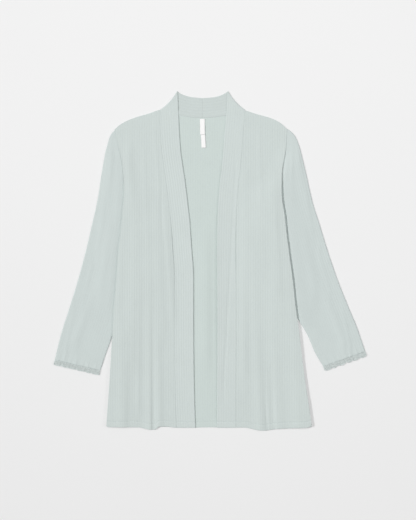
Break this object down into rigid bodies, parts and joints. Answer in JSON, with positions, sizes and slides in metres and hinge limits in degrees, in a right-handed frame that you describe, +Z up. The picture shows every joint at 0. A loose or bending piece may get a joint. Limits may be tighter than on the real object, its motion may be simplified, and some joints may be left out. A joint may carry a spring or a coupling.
{
  "type": "pajama cardigan",
  "caption": "Open-front rib-knit pajama cardigan laid flat, with a folded neck band, long sleeves with scalloped lace at the wrists and a blank neck label.",
  "frame": {"origin": "middle of the garment's bounding box, on the surface that it lies on", "axes": "+X across the garment to the picture's right, the wearer's left; +Y up the garment from hem to neck; +Z up off the surface"},
  "size_m": [0.7482, 0.8142, 0.0084],
  "materials": {
    "body_knit": "matt fine rib knit, pale mint",
    "band_knit": "matt fine rib knit, pale mint",
    "sleeve_knit": "matt fine rib knit, pale mint",
    "lace": "thin tone-on-tone lace",
    "label_tape": "smooth white woven tape, blank"
  },
  "bodies": {
    "root": {"back_panel": "body_knit", "front_left": "body_knit", "band_left": "band_knit", "sleeve_left": "sleeve_knit", "cuff_lace_left": "lace", "front_right": "body_knit", "band_right": "band_knit", "sleeve_right": "sleeve_knit", "cuff_lace_right": "lace", "label_upper": "label_tape", "label_lower": "label_tape"}
  },
  "joints": []
}
